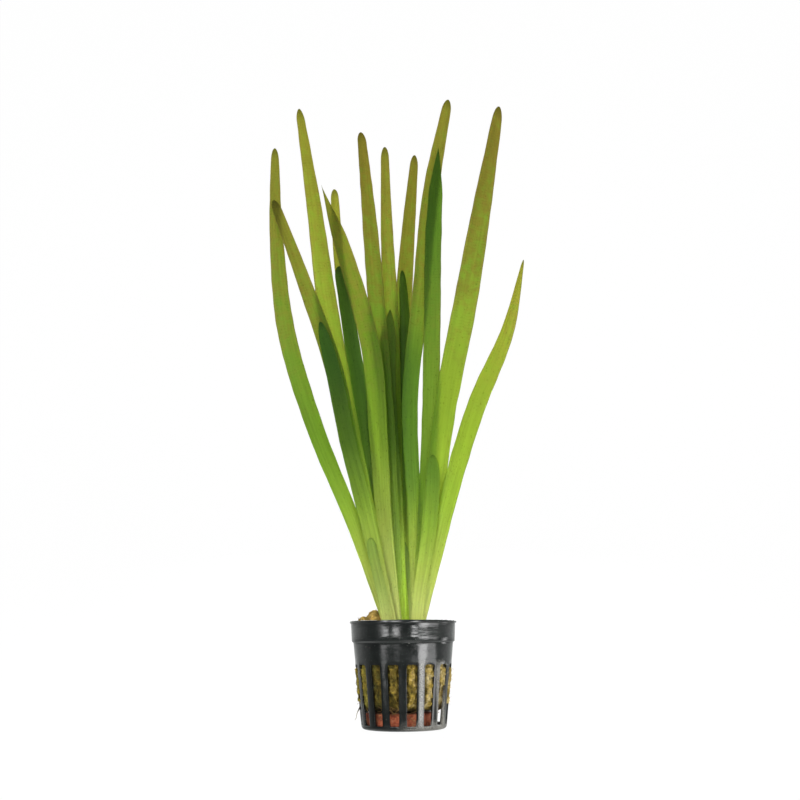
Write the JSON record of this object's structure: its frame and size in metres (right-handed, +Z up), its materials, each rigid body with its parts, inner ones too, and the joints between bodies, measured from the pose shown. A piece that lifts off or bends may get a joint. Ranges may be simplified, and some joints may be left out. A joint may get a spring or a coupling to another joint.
{
  "type": "potted vallisneria",
  "caption": "Potted vallisneria: long ribbon-like leaves rising from a rockwool plug in a small slotted black pot with a fired clay weight under the plug.",
  "frame": {"origin": "middle of the pot's flat underside, on the floor", "axes": "+Z up along the pot's axis and the leaves, front of the plant towards -Y, +X to the viewer's right"},
  "size_m": [0.1269, 0.05, 0.32],
  "materials": {
    "pot_plastic": "glossy black polypropylene",
    "rockwool": "crumbly, fibrous, yellow-brown",
    "fired_clay": "rough, unglazed terracotta",
    "crown_tissue": "smooth, pale green plant tissue",
    "leaf_tissue": "thin, satin, lengthwise veins"
  },
  "bodies": {
    "root": {"pot": "pot_plastic", "rockwool": "rockwool", "clay_weight": "fired_clay", "crown_left": "crown_tissue", "crown_middle": "crown_tissue", "crown_right": "crown_tissue", "leaf_left_outermost": "leaf_tissue", "leaf_left_outer": "leaf_tissue", "leaf_left_short_dark": "leaf_tissue", "leaf_left_tall": "leaf_tissue", "leaf_left_pointed": "leaf_tissue", "leaf_left_dark": "leaf_tissue", "leaf_left_slim": "leaf_tissue", "leaf_left_inner": "leaf_tissue", "leaf_left_young": "leaf_tissue", "leaf_middle_left": "leaf_tissue", "leaf_middle_right": "leaf_tissue", "leaf_middle_dark_left": "leaf_tissue", "leaf_middle_dark_right": "leaf_tissue", "leaf_middle_dark_back": "leaf_tissue", "leaf_middle_young": "leaf_tissue", "leaf_right_inner_tall": "leaf_tissue", "leaf_right_inner_pointed": "leaf_tissue", "leaf_right_broad": "leaf_tissue", "leaf_right_outermost": "leaf_tissue", "leaf_right_short": "leaf_tissue"}
  },
  "joints": []
}
